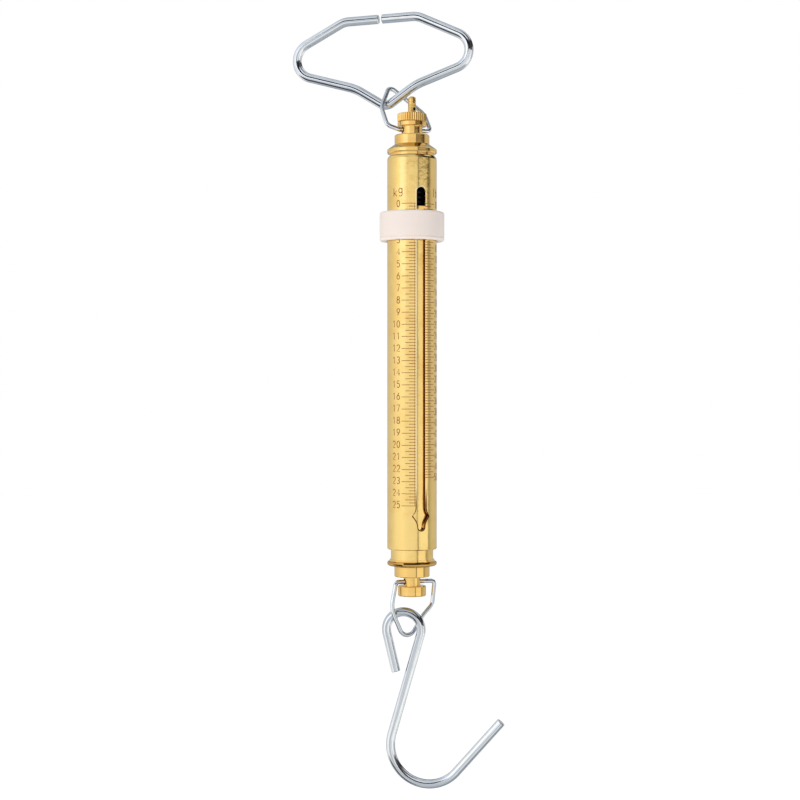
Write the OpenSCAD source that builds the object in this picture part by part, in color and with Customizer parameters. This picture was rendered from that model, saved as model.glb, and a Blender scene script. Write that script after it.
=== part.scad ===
// Fishing scale: a brass tube spring balance hung from a bent wire handle.
// Millimetres. Z is up, the viewer stands on the -Y side, the origin is the grip of the handle.

/* [Part] */
// name of the sub-part to build, or all

/* [Wires] */
// thickness of the wire of handle and hook
heavy_wire = 4.6; // [4.2:0.1:5]
// thickness of the wire of the two links
link_wire = 2.2; // [2:0.1:2.4]
// overall width of the handle
handle_width = 95.4; // [88:0.2:105]
// depth of the handle from its top bar to the bottom of its seat
handle_depth = 45; // [41:1:50]
// bend radius of the seat that the upper link hangs on
seat_bend = 4.3; // [3.6:0.1:5.2]
// radius of the eye of the hook on its centre line
eye_bend = 8.9; // [8.6:0.1:9.6]
// radius of the bowl of the hook on its centre line
bowl_bend = 19.2; // [15:0.2:23]
// straight length of the tip of the hook
tip_length = 34.6; // [26:1:42]

/* [Outer tube] */
// outside diameter of the outer tube
tube_d = 25; // [24:0.2:27]
// wall of the outer tube
tube_wall = 1.2; // [1:0.1:1.4]
// length of the outer tube
tube_length = 197.9; // [190:1:215]
// width of the slot that shows the index
slot_width = 4.8; // [4.4:0.1:6]
// depth of the sunk rim around the slot
rim_depth = 0.3; // [0.2:0.05:0.5]

/* [Inner tube] */
// wall of the inner tube
inner_wall = 0.8; // [0.6:0.1:1.2]
// height of the bush that guides the inner tube
bush_height = 13.6; // [8:0.2:20]
// distance from the cross hole down to the top of the inner tube
inner_top = 39.4; // [38:0.2:42]

/* [Marker ring] */
// outside diameter of the marker ring
ring_d = 32.6; // [30:0.2:36]
// height of the marker ring
ring_height = 14.6; // [12:0.2:17]

/* [End fittings] */
// diameter of the zero nut and of the head under it
head_d = 14.6; // [13:0.2:15]
// diameter of the neck that holds the upper link
neck_d = 10.5; // [9.6:0.1:11]
// diameter of the zero rod
rod_d = 4.1; // [3.6:0.1:4.4]
// diameter of the hub over the upper flange
hub_d = 17.6; // [16:0.2:19]
// diameter of the neck that holds the lower link
low_neck_d = 8.4; // [7.6:0.1:9]
// diameter of the disc at the lower end
low_disc_d = 14.2; // [12.6:0.2:14.6]

/* [Spring] */
// wire thickness of the spring
spring_wire = 2.5; // [2.1:0.1:2.7]
// number of turns between the two plugs
spring_turns = 69; // [60:1:70]

/* [Fit] */
// running clearance on a radius
running = 0.08; // [0.05:0.01:0.1]
// clearance between pieces that pass each other
pass = 0.3; // [0.25:0.05:0.4]
// clearance under the zero nut
thrust = 0.1; // [0.08:0.02:0.2]

/* [Hidden] */
$fn = 72;

brass = [0.84, 0.66, 0.33];
steel = [0.78, 0.81, 0.86];
white = [0.93, 0.9, 0.86];

turn = 21.8;
lean = 30;
handle_yaw = 15;
handle_tilt = 1.45;
hook_yaw = 12;
end_chamfer = 0.35;
lap = 0.12;

// handle vertices; the seat is bent a little to the right of the middle
hx = (handle_width - heavy_wire) / 90.8;
hz = handle_depth / 45;
grip_gap = 1.4;
bar_x = 19.38 * hx;
corner_x = 61.13 * hx;
corner_z = -20.46 * hz;
arm_x = 15.94 * hx;
arm_z = -34.65 * hz;
seat_x = 1.92;
handle_points = [[grip_gap / 2, 0], [bar_x, 0], [corner_x, corner_z],
  [seat_x + arm_x, arm_z], [seat_x, -handle_depth], [seat_x - arm_x, arm_z], [-corner_x, corner_z], [-bar_x, 0], [-grip_gap / 2, 0]];
handle_radii = [0, 7, 9.3, 8, seat_bend, 8, 9.3, 7, 0];

// where the cross hole of the top cap hangs, seen from the grip
hang = [16.03, -8.5, -57.97 - (handle_depth - 45)];

// radii of the tubes
tube_r = tube_d / 2;
bore_r = tube_r - tube_wall;
inner_r = bore_r - 0.6;
inner_bore = inner_r - inner_wall;
collar_r = bore_r - running;
groove_r = bore_r - 0.2;
flange_r = tube_r + 0.05;

// heights in the frame of the cross hole
head_top = 4.15;
head_low = 1.75;
neck_low = -2.5;
hub_low = -7.3;
flange_top = -9.6;
flange_low = -12;
tube_top = -13.3;
tube_low = tube_top - tube_length;
plug_low = -22;
slot_top = -29.8;
slot_end = tube_low + 10.1;
inner_z = -inner_top;
inner_low = tube_low - 5.9;
low_hole = inner_low - 10.6;
collar_low = inner_z - 5;
bush_top = tube_low + 0.6 + bush_height;
travel = collar_low - bush_top - 0.6;
ring_top = inner_z - 2.1;

// rod and nut
rod_r = rod_d / 2;
rod_top = 17.2;
nut_low = head_top + thrust;
nut_top = nut_low + 4.05;
nut_bore = rod_r + running;
keeper_z = 10.6;
keeper_r = 0.75;
keeper_turn = 17.2;
rod_low = plug_low - 18;

// spring and its plugs
spring_play = 0.85;
spring_r = inner_bore - spring_wire / 2 - spring_play;
spring_top = -28.4;
spring_pitch = (spring_top - (inner_low + 14)) / spring_turns;
spring_low = spring_top - spring_turns * spring_pitch;
plug_r = spring_r - spring_wire / 2 - 0.35;
plug_flange = spring_r + 0.8;

// cross holes
pin_r = link_wire / 2;
hole_r = pin_r + 0.1;
pin_end = rod_r + 0.85;

index_out = tube_r + 0.12;
ring_bore = index_out + pass;

function heading(p, q) = atan2(q[1] - p[1], q[0] - p[0]);
function wrap(a) = a > 180 ? a - 360 : (a < -180 ? a + 360 : a);
function turn_at(v, i) = wrap(heading(v[i], v[i + 1]) - heading(v[i - 1], v[i]));
function inner(v, i) = i > 0 && i < len(v) - 1;
function set_back(v, r, i) = inner(v, i) ? r[i] * tan(abs(turn_at(v, i)) / 2) : 0;
function bend_table(v, r) = [for (i = [0 : len(v) - 2])
  [norm(v[i + 1] - v[i]) - set_back(v, r, i) - set_back(v, r, i + 1),
   inner(v, i + 1) ? turn_at(v, i + 1) : 0, r[i + 1]]];

// a round rod along +X, chamfered at a free end and lapped into the next bend at the other
module rod_piece(d, h, first, last)
{
  a = first ? 0 : -lap;
  b = last ? h : h + lap;
  c = end_chamfer;
  rotate([0, 90, 0])
    difference()
    {
      translate([0, 0, a]) cylinder(d = d, h = b - a);
      if (first) end_cut(d, c);
      if (last) translate([0, 0, h]) rotate([180, 0, 0]) end_cut(d, c);
    }
}

module end_cut(d, c)
{
  rotate_extrude()
    polygon([[d / 2 - c - 0.3, -0.3], [d / 2 + 0.5, -0.3], [d / 2 + 0.5, c + 0.5]]);
}

// follows a bending table of [feed, turn, radius], each bend a true torus
module bent_rod(table, d, i = 0)
{
  feed = table[i][0];
  bend = table[i][1];
  r = table[i][2];
  side = bend > 0 ? 1 : -1;
  last = i == len(table) - 1;
  if (feed > 0.01) rod_piece(d, feed, i == 0, last);
  if (!last)
  {
    translate([feed, side * r, 0])
      rotate([0, 0, side > 0 ? -90 : 90 + bend])
      rotate_extrude(angle = abs(bend))
      translate([r, 0])
      circle(d = d + 0.03, $fn = 48);
    translate([feed, side * r, 0])
      rotate([0, 0, bend])
      translate([0, -side * r, 0])
      bent_rod(table, d, i + 1);
  }
}

// a planar wire through the vertices v, standing in the XZ plane
module planar_wire(v, r, d)
{
  rotate([90, 0, 0])
    translate([v[0][0], v[0][1], 0])
    rotate([0, 0, heading(v[0], v[1])])
    bent_rod(bend_table(v, r), d);
}

module in_case()
{
  translate(hang)
    rotate([0, 0, turn])
    children();
}

module ring_shape(r_out, r_in, z_low, z_high)
{
  translate([0, 0, z_low])
    difference()
    {
      cylinder(r = r_out, h = z_high - z_low);
      translate([0, 0, -1]) cylinder(r = r_in, h = z_high - z_low + 2);
    }
}

// Handle

module handle()
{
  color(steel)
    rotate([0, 0, -handle_yaw])
    rotate([0, -handle_tilt, 0])
    planar_wire(handle_points, handle_radii, heavy_wire);
}

// Upper link

upper_points = [[-pin_end, 0], [-6.6, 0], [-13, 2.5], [-13.9, 13.6], [-6.84, 27.87],
  [8.8, 11.1], [10.2, 0], [pin_end, 0]];
upper_radii = [0, 2.4, 3.6, 9, 2.36, 8, 2.2, 0];

module upper_link()
{
  color(steel)
    in_case()
    rotate([-lean, 0, 0])
    planar_wire(upper_points, upper_radii, link_wire);
}

// Top cap

module cap_profile()
{
  polygon([[0, head_top], [head_d / 2 - 0.3, head_top], [head_d / 2, head_top - 0.3],
    [head_d / 2, head_low + 0.3], [head_d / 2 - 0.3, head_low], [neck_d / 2, head_low],
    [neck_d / 2, neck_low], [hub_d / 2 - 0.4, neck_low], [hub_d / 2, neck_low - 0.4],
    [hub_d / 2, hub_low], [flange_r - 0.5, flange_top], [flange_r, flange_top - 0.5],
    [flange_r, flange_low + 0.4], [flange_r - 0.4, flange_low], [groove_r, flange_low],
    [groove_r, tube_top], [bore_r, tube_top], [bore_r, plug_low + 0.6],
    [bore_r - 0.6, plug_low], [0, plug_low]]);
}

module side_hole(r, side, from, to, mouth)
{
  rotate([0, side * 90, 0])
  {
    translate([0, 0, from]) cylinder(r = r, h = to - from);
    translate([0, 0, mouth - 0.45]) cylinder(r1 = r, r2 = r + 0.45, h = 0.45);
    translate([0, 0, mouth]) cylinder(r = r + 0.45, h = 1);
  }
}

module top_cap()
{
  color(brass)
    in_case()
    difference()
    {
      rotate_extrude() cap_profile();
      translate([0, 0, plug_low - 1]) cylinder(r = rod_r + running, h = 60);
      side_hole(hole_r, 1, pin_end - 0.25, neck_d, neck_d / 2 - 0.06);
      side_hole(hole_r, -1, pin_end - 0.25, neck_d, neck_d / 2 - 0.06);
    }
}

// Zero nut

module zero_nut()
{
  color(brass)
    in_case()
    difference()
    {
      rotate_extrude()
        polygon([[0, nut_low], [head_d / 2 - 0.3, nut_low], [head_d / 2, nut_low + 0.3],
          [head_d / 2, nut_top - 0.5], [head_d / 2 - 0.5, nut_top], [0, nut_top]]);
      translate([0, 0, nut_low - 1]) cylinder(r = nut_bore, h = nut_top - nut_low + 2);
      translate([0, 0, nut_top - 0.4]) cylinder(r1 = nut_bore, r2 = nut_bore + 0.5, h = 0.5);
    }
}

// Zero rod

module zero_rod()
{
  color(brass)
    in_case()
    difference()
    {
      union()
      {
        translate([0, 0, rod_low]) cylinder(r = rod_r, h = rod_top - 1.1 - rod_low);
        translate([0, 0, rod_top - 1.1])
          intersection()
          {
            cylinder(r = rod_r, h = 1.1);
            translate([0, 0, 1.1 - rod_r * 1.25]) sphere(r = rod_r * 1.25);
          }
      }
      translate([0, 0, keeper_z])
        rotate([90, 0, keeper_turn])
        cylinder(r = keeper_r, h = 8, center = true);
    }
}

module keeper_pin()
{
  color(steel)
    in_case()
    translate([0, 0, keeper_z])
    rotate([90, 0, keeper_turn])
    cylinder(r = keeper_r, h = 2 * rod_r - 0.7, center = true);
}

// Rod nut

module rod_nut()
{
  color(brass)
    in_case()
    difference()
    {
      translate([0, 0, -26]) cylinder(r = 4.2, h = 2.4, $fn = 6);
      translate([0, 0, -27]) cylinder(r = rod_r, h = 5);
    }
}

// Upper plug

module upper_plug()
{
  color(steel)
    in_case()
    difference()
    {
      union()
      {
        translate([0, 0, -28]) cylinder(r = plug_flange, h = 2);
        translate([0, 0, -43]) cylinder(r1 = plug_r - 0.8, r2 = plug_r, h = 1);
        translate([0, 0, -42]) cylinder(r = plug_r, h = 14.5);
      }
      translate([0, 0, -50]) cylinder(r = rod_r, h = 30);
    }
}

// Outer tube

function flare_x(t) = slot_width / 2 + 1.8 * t * t;
function waist_x(t) = 1.6 + (slot_width / 2 + 1.8 - 1.6) * (1 - sin(90 * t));

module slot_outline(g)
{
  z1 = slot_end + 11.4;
  z2 = slot_end + 7.3;
  z3 = slot_end + 1.6;
  side = [for (i = [0 : 5]) [flare_x(i / 5) + g, z1 + (z2 - z1) * i / 5 - g * i / 10]];
  waist = [for (i = [1 : 7]) [waist_x(i / 7) + g, z2 + (z3 - z2) * i / 7 - g * (1 - i / 7) / 2]];
  right = concat(side, waist);
  left = [for (i = [len(right) - 1 : -1 : 0]) [-right[i][0], right[i][1]]];
  polygon(concat(right, left));
  translate([-slot_width / 2 - g, z1 - 0.5])
    square([slot_width + 2 * g, slot_top - slot_width / 2 - z1 + 0.5]);
  translate([0, slot_top - slot_width / 2]) circle(r = slot_width / 2 + g);
  translate([0, z3]) circle(r = 1.6 + g);
}

module slot_cut(g)
{
  rotate([90, 0, 0])
    linear_extrude(height = tube_r + 5)
    slot_outline(g);
}

module outer_tube()
{
  color(brass)
    in_case()
    difference()
    {
      rotate_extrude()
        polygon([[bore_r, tube_low + 0.3], [bore_r + 0.3, tube_low],
          [tube_r - 0.35, tube_low], [tube_r, tube_low + 0.35], [tube_r, tube_top - 1.7],
          [tube_r - 0.2, tube_top - 0.95], [tube_r - 0.55, tube_top - 0.35],
          [tube_r - 1, tube_top], [bore_r, tube_top]]);
      slot_cut(0);
      intersection()
      {
        slot_cut(0.6);
        ring_shape(tube_r + 4, tube_r - rim_depth, slot_end - 5, slot_top + 5);
      }
    }
}

module guide_bush()
{
  color(brass)
    in_case()
    difference()
    {
      ring_shape(bore_r, inner_r + running, tube_low + 0.6, bush_top);
      slot_cut(0);
    }
}

// Marker ring

module marker_ring()
{
  r = ring_d / 2;
  low = ring_top - ring_height;
  color(white)
    in_case()
    rotate_extrude()
    polygon([[ring_bore + 0.5, ring_top], [r - 0.9, ring_top], [r - 0.25, ring_top - 0.3],
      [r, ring_top - 0.9], [r, low + 2.2], [r - 0.25, low + 2], [r - 0.25, low + 1.5],
      [r, low + 1.3], [r, low + 0.8], [r - 0.25, low + 0.25], [r - 0.8, low],
      [ring_bore + 0.5, low], [ring_bore, low + 0.5], [ring_bore, ring_top - 0.5]]);
}

// Inner tube

module inner_tube()
{
  color(brass)
    in_case()
    ring_shape(inner_r, inner_bore, inner_low, inner_z);
}

module index_body()
{
  intersection()
  {
    translate([-slot_width / 2 + pass, -tube_r - 2, inner_z - 1.3])
      cube([slot_width - 2 * pass, tube_r - inner_r + 2, 1.3]);
    ring_shape(index_out, inner_r, inner_z - 3, inner_z + 3);
  }
}

module guide_collar()
{
  color(brass)
    in_case()
    difference()
    {
      ring_shape(collar_r, inner_r, collar_low, inner_z);
      translate([-slot_width / 2 + pass, -tube_r - 2, inner_z - 1.3])
        cube([slot_width - 2 * pass, tube_r - inner_r + 4, 3]);
    }
}

module index()
{
  color(brass)
    in_case()
    index_body();
}

module seat_ring()
{
  color(brass)
    in_case()
    ring_shape(inner_r + 0.6, inner_r, inner_low, inner_low + 0.8);
}

// Spring, with closed turns shown as rings

module spring()
{
  color(steel)
    in_case()
    rotate_extrude($fn = 48)
    {
      translate([spring_r - 0.45, spring_low + 0.6])
        square([0.9, spring_turns * spring_pitch - 1.2]);
      for (i = [0 : spring_turns - 1])
        translate([spring_r, spring_top - (i + 0.5) * spring_pitch])
          circle(d = spring_wire * 0.99, $fn = 24);
    }
}

// Lower plug and its stud

stud_r = 2.4;
plug_z = inner_low + 12;

module lower_plug()
{
  color(steel)
    in_case()
    difference()
    {
      union()
      {
        translate([0, 0, plug_z]) cylinder(r = plug_flange, h = 1.7);
        translate([0, 0, plug_z + 1.7]) cylinder(r = plug_r, h = 12.5);
        translate([0, 0, plug_z + 14.2]) cylinder(r1 = plug_r, r2 = plug_r - 0.8, h = 1);
      }
      translate([0, 0, plug_z - 1]) cylinder(r = stud_r, h = 20);
    }
}

module anchor_stud()
{
  color(steel)
    in_case()
    translate([0, 0, inner_low + 3])
    cylinder(r = stud_r, h = 22);
}

module anchor_nut()
{
  color(steel)
    in_case()
    difference()
    {
      translate([0, 0, plug_z - 2]) cylinder(r = 4.4, h = 2, $fn = 6);
      translate([0, 0, plug_z - 3]) cylinder(r = stud_r, h = 5);
    }
}

// Bottom cap

module bottom_cap()
{
  top = inner_low;
  color(brass)
    in_case()
    difference()
    {
      rotate_extrude()
        polygon([[0, top + 10], [inner_bore - 0.5, top + 10], [inner_bore, top + 9.5],
          [inner_bore, top], [flange_r - 0.9, top], [flange_r - 0.2, top - 0.35],
          [flange_r, top - 1.1], [flange_r - 0.2, top - 1.9], [flange_r - 0.8, top - 2.4],
          [9.1, top - 2.4], [8.9, top - 2.8], [8.9, top - 7.7], [8.5, top - 8.1],
          [low_neck_d / 2, top - 8.1], [low_neck_d / 2, top - 12.6],
          [low_disc_d / 2 - 0.3, top - 12.6], [low_disc_d / 2, top - 12.9],
          [low_disc_d / 2, top - 17.4], [low_disc_d / 2 - 0.4, top - 17.8], [0, top - 17.8]]);
      translate([0, 0, top + 3]) cylinder(r = stud_r, h = 20);
      translate([0, 0, low_hole]) side_hole(hole_r, 1, -0.1, 12, low_neck_d / 2 - 0.06);
      translate([0, 0, low_hole]) side_hole(hole_r, -1, -0.1, 12, low_neck_d / 2 - 0.06);
    }
}

// Lower link

lower_points = [[-0.9, 0], [-8.7, 0], [-11.3, -13.6], [-3.15, -31.4], [6, -17.3], [11, -12],
  [12.35, 0], [0.9, 0]];
lower_radii = [0, 1.8, 14, 4.2, 8, 5, 1.8, 0];

module lower_link()
{
  color(steel)
    in_case()
    translate([0, 0, low_hole])
    planar_wire(lower_points, lower_radii, link_wire);
}

// Load hook

eye_x = -4.25;
eye_z = -24.11;
short_leg = 19.8;
start_heading = 103.6;
eye_turn = 209.8;
p1x = eye_x - eye_bend * sin(start_heading) - short_leg * cos(start_heading);
p1z = eye_z + eye_bend * cos(start_heading) - short_leg * sin(start_heading);
hook_table = [[short_leg, -eye_turn, eye_bend], [52.4, 154.8, bowl_bend], [tip_length, 0, 0]];

module load_hook()
{
  color(steel)
    translate([hang[0], hang[1] - 1.62, hang[2] + low_hole])
    rotate([0, 0, -hook_yaw])
    rotate([90, 0, 0])
    translate([p1x, p1z, 0])
    rotate([0, 0, start_heading])
    bent_rod(hook_table, heavy_wire);
}

handle();
upper_link();
top_cap();
zero_nut();
zero_rod();
keeper_pin();
rod_nut();
upper_plug();
outer_tube();
guide_bush();
marker_ring();
inner_tube();
guide_collar();
index();
seat_ring();
spring();
lower_plug();
anchor_stud();
anchor_nut();
bottom_cap();
lower_link();
load_hook();
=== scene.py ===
import math

import bmesh
import bpy
from mathutils import Matrix, Vector


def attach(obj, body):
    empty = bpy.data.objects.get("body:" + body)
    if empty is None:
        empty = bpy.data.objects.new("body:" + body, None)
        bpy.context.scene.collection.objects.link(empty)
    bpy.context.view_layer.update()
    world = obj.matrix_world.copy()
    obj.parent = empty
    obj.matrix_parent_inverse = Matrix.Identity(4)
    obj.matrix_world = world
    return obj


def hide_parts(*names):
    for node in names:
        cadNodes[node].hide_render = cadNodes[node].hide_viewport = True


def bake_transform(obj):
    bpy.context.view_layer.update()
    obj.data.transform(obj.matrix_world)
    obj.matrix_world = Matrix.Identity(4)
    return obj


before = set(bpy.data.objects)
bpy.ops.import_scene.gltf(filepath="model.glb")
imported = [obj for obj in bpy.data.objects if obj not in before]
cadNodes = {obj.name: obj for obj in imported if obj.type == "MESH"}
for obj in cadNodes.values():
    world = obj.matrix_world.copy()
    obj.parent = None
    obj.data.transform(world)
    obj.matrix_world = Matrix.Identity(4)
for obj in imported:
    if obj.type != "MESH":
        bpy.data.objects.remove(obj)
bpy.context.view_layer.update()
print("frame loaded,", len(cadNodes), "nodes")

mm = 0.001
tubeTurn = math.radians(21.8)  # the slot looks this far to the viewer's right
hang = Vector((16.03, -8.5, -57.97)) * mm  # cross hole of the top cap
caseFrame = Matrix.Translation(hang) @ Matrix.Rotation(tubeTurn, 4, "Z")


# small helpers for node trees

def put(tree, kind, inputs=None, **settings):
    node = tree.nodes.new(kind)
    for key, value in settings.items():
        setattr(node, key, value)
    for key, value in (inputs or {}).items():
        if isinstance(value, bpy.types.NodeSocket):
            tree.links.new(value, node.inputs[key])
        else:
            node.inputs[key].default_value = value
    return node


def calc(tree, operation, a, b=None, c=None):
    given = {i: v for i, v in enumerate((a, b, c)) if v is not None}
    return put(tree, "ShaderNodeMath", given, operation=operation).outputs[0]


def plus(tree, a, b):
    return calc(tree, "ADD", a, b)


def minus(tree, a, b):
    return calc(tree, "SUBTRACT", a, b)


def times(tree, a, b):
    return calc(tree, "MULTIPLY", a, b)


def hypotenuse(tree, a, b):
    return calc(tree, "SQRT", plus(tree, times(tree, a, a), times(tree, b, b)))


def calcVector(tree, operation, a, b=None):
    given = {i: v for i, v in enumerate((a, b)) if v is not None}
    return put(tree, "ShaderNodeVectorMath", given, operation=operation).outputs[0]


def joinXyz(tree, x, y, z):
    return put(tree, "ShaderNodeCombineXYZ", {0: x, 1: y, 2: z}).outputs[0]


def splitXyz(tree, vector):
    return put(tree, "ShaderNodeSeparateXYZ", {0: vector}).outputs


def mapRange(tree, value, low, high, toLow, toHigh, smooth=False):
    node = put(tree, "ShaderNodeMapRange", {0: value, 1: low, 2: high, 3: toLow, 4: toHigh})
    if smooth:
        node.interpolation_type = "SMOOTHSTEP"
    return node.outputs[0]


def window(tree, value, riseFrom, riseTo, fallFrom, fallTo):
    # one between the two slopes and zero outside them
    rise = mapRange(tree, value, riseFrom, riseTo, 0.0, 1.0)
    return times(tree, rise, mapRange(tree, value, fallFrom, fallTo, 1.0, 0.0))


def noise(tree, vector, scale, detail, roughness=0.5):
    given = {"Vector": vector, "Scale": scale, "Detail": detail, "Roughness": roughness}
    return put(tree, "ShaderNodeTexNoise", given).outputs[0]


socketKinds = {
    "float": "NodeSocketFloat", "int": "NodeSocketInt", "vector": "NodeSocketVector",
    "material": "NodeSocketMaterial", "geometry": "NodeSocketGeometry",
}


def newGroup(name, kind, inputs, outputs):
    tree = bpy.data.node_groups.new(name, kind)
    for label, sort, value in inputs:
        socket = tree.interface.new_socket(label, in_out="INPUT", socket_type=socketKinds[sort])
        if value is not None:
            socket.default_value = value
    for label, sort in outputs:
        tree.interface.new_socket(label, in_out="OUTPUT", socket_type=socketKinds[sort])
    return tree, put(tree, "NodeGroupInput").outputs, put(tree, "NodeGroupOutput").inputs


def geometryTree(name, inputs):
    inputs = [("Geometry", "geometry", None)] + inputs + [("Material", "material", None)]
    return newGroup(name, "GeometryNodeTree", inputs, [("Geometry", "geometry")])


def closeTree(tree, given, result, geometry):
    whole = put(tree, "GeometryNodeRealizeInstances", {0: geometry}).outputs[0]
    painted = put(tree, "GeometryNodeSetMaterial", {"Geometry": whole, "Material": given["Material"]})
    tree.links.new(painted.outputs[0], result["Geometry"])


def grow(name, tree, values, material, start=None):
    # runs a tree on a start mesh and keeps the result as a plain mesh
    draft = bpy.data.objects.new(name + "Draft", start or bpy.data.meshes.new(name + "Start"))
    bpy.context.scene.collection.objects.link(draft)
    modifier = draft.modifiers.new("grow", "NODES")
    modifier.node_group = tree
    values = {**values, "Material": material}
    for item in tree.interface.items_tree:
        if item.item_type == "SOCKET" and item.in_out == "INPUT" and item.name in values:
            modifier[item.identifier] = values[item.name]
    mesh = bpy.data.meshes.new_from_object(draft.evaluated_get(bpy.context.evaluated_depsgraph_get()))
    bpy.data.objects.remove(draft)
    mesh.name = name
    piece = bpy.data.objects.new(name, mesh)
    bpy.context.scene.collection.objects.link(piece)
    return piece


def settle(piece, matrix=None, sharp=30):
    # puts the mesh in its place, closes its seams, turns its faces out and marks its sharp edges
    if matrix is not None:
        piece.data.transform(matrix)
    work = bmesh.new()
    work.from_mesh(piece.data)
    bmesh.ops.remove_doubles(work, verts=work.verts, dist=1e-7)
    bmesh.ops.recalc_face_normals(work, faces=work.faces)
    work.to_mesh(piece.data)
    work.free()
    piece.data.shade_smooth()
    piece.data.set_sharp_from_angle(angle=math.radians(sharp))
    piece.data.update()


def turned(degrees, axis):
    return Matrix.Rotation(math.radians(degrees), 4, axis)


def lifted(height):
    return Matrix.Translation((0, 0, height * mm))


# shader groups that more than one finish uses

def latheGroup():
    # rings left by the tool: the pattern depends only on height and distance from the axis
    tree, given, result = newGroup("latheMarks", "ShaderNodeTree",
                                   [("Vector", "vector", None), ("Rings", "float", 3000.0)],
                                   [("Height", "float"), ("Tone", "float")])
    x, y, z = splitXyz(tree, given["Vector"])
    spot = joinXyz(tree, hypotenuse(tree, x, y), z, 0.0)
    fine = noise(tree, spot, given["Rings"], 3.0, 0.6)
    broad = noise(tree, spot, times(tree, given["Rings"], 0.22), 2.0)
    mixed = plus(tree, times(tree, fine, 0.6), times(tree, broad, 0.4))
    tree.links.new(mixed, result["Height"])
    tree.links.new(broad, result["Tone"])
    return tree


def drawnGroup():
    # long faint lines left by drawing or polishing along the vector's Z
    tree, given, result = newGroup("drawnLines", "ShaderNodeTree",
                                   [("Vector", "vector", None), ("Across", "float", 2200.0),
                                    ("Along", "float", 25.0)],
                                   [("Height", "float")])
    stretch = joinXyz(tree, given["Across"], given["Across"], given["Along"])
    lines = noise(tree, calcVector(tree, "MULTIPLY", given["Vector"], stretch), 1.0, 3.0, 0.55)
    tree.links.new(lines, result["Height"])
    return tree


def patinaGroup():
    # slow stains and small specks of tarnish
    tree, given, result = newGroup("patina", "ShaderNodeTree",
                                   [("Vector", "vector", None), ("Patches", "float", 90.0),
                                    ("Specks", "float", 1400.0)],
                                   [("Stain", "float"), ("Speck", "float")])
    slow = noise(tree, given["Vector"], given["Patches"], 4.0, 0.62)
    small = noise(tree, given["Vector"], given["Specks"], 2.0)
    tree.links.new(mapRange(tree, slow, 0.42, 0.68, 0.0, 1.0, True), result["Stain"])
    tree.links.new(mapRange(tree, small, 0.66, 0.78, 0.0, 1.0, True), result["Speck"])
    return tree


latheMarks, drawnLines, patina = latheGroup(), drawnGroup(), patinaGroup()


def effect(tree, group, **values):
    return put(tree, "ShaderNodeGroup", values, node_tree=group).outputs


def newMaterial(name, values):
    material = bpy.data.materials.new(name)
    material.use_nodes = True
    tree = material.node_tree
    tree.nodes.clear()
    shader = put(tree, "ShaderNodeBsdfPrincipled", values)
    put(tree, "ShaderNodeOutputMaterial", {"Surface": shader.outputs[0]})
    return material, tree, shader


def axisCoords(tree):
    # object coordinates counted from the top cap's cross hole, so that X and Y are zero on the tube's axis
    coords = put(tree, "ShaderNodeTexCoord").outputs["Object"]
    return put(tree, "ShaderNodeMapping", {"Vector": coords, "Location": tuple(-c for c in hang)}).outputs[0]


def mixColor(tree, share, a, b):
    # the sockets of a Mix node share their names, so they are found by identifier
    node = put(tree, "ShaderNodeMix", data_type="RGBA")
    for key, value in (("Factor_Float", share), ("A_Color", a), ("B_Color", b)):
        socket = next(s for s in node.inputs if s.identifier == key)
        if isinstance(value, bpy.types.NodeSocket):
            tree.links.new(value, socket)
        else:
            socket.default_value = value
    return next(s for s in node.outputs if s.identifier == "Result_Color")


def bumpOn(tree, shader, height, strength, distance):
    bump = put(tree, "ShaderNodeBump", {"Height": height, "Strength": strength, "Distance": distance})
    tree.links.new(bump.outputs[0], shader.inputs["Normal"])
    return bump


def finishWith(tree, shader, color, rough):
    tree.links.new(color, shader.inputs["Base Color"])
    tree.links.new(rough, shader.inputs["Roughness"])


brassLook = {
    "tube": (0.92, 0.67, 0.245, 1),
    "tubeStain": (0.84, 0.53, 0.15, 1),
    # painted shade inside the bores
    "bore": (0.62, 0.17, 0.03, 1),
    # painted highlight on the slot's walls
    "wall": (1.0, 0.84, 0.50, 1),
    # painted shade along the slot's foot
    "footShade": (0.15, 0.06, 0.015, 1),
    # painted shade inside the cross holes
    "hole": (0.05, 0.025, 0.012, 1),
    "turned": (0.90, 0.60, 0.20, 1),
    "turnedDeep": (0.78, 0.46, 0.12, 1),
    # painted shade on the lower flange's rim
    "rim": (0.56, 0.32, 0.075, 1),
    "tubeCoat": {"Metallic": 1.0, "Coat Weight": 0.1, "Coat Roughness": 0.12},
    "turnedCoat": {"Metallic": 1.0, "Coat Weight": 0.1, "Coat Roughness": 0.1},
    "tubeRoughness": (0.08, 0.16), "boreRoughness": 0.4,
    "turnedRoughness": (0.04, 0.09), "holeRoughness": 0.5,
    "tubeStains": 0.45, "tubeSpecks": 0.5, "turnedStains": 0.3, "turnedPatches": 160.0,
    # strength and distance of the relief
    "tubeBump": (0.12, 0.0002), "turnedBump": (0.2, 0.00004), "waveBump": (1.0, 0.00006), "waveScale": 260.0,
    # where it is, in metres from the axis, with soft edges
    "innerBore": (0.0101, 0.0103),
    "outerBore": (0.01085, 0.01095, 0.0118, 0.0119),
    "slotWall": (0.0119, 0.012, 0.01241, 0.01246),
    "holeEdge": (0.00155, 0.0017),  # from the cross hole's own axis
    # where it is, in metres above the top cap's cross hole
    "slotHeights": (-0.2065, -0.2045, -0.0235, -0.0215),
    "footShadeHeights": (-0.188, -0.18),
    "rimShadeHeights": (-0.2203, -0.22, -0.2174, -0.2171),
    "lowerHole": -0.2277,
}


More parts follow.
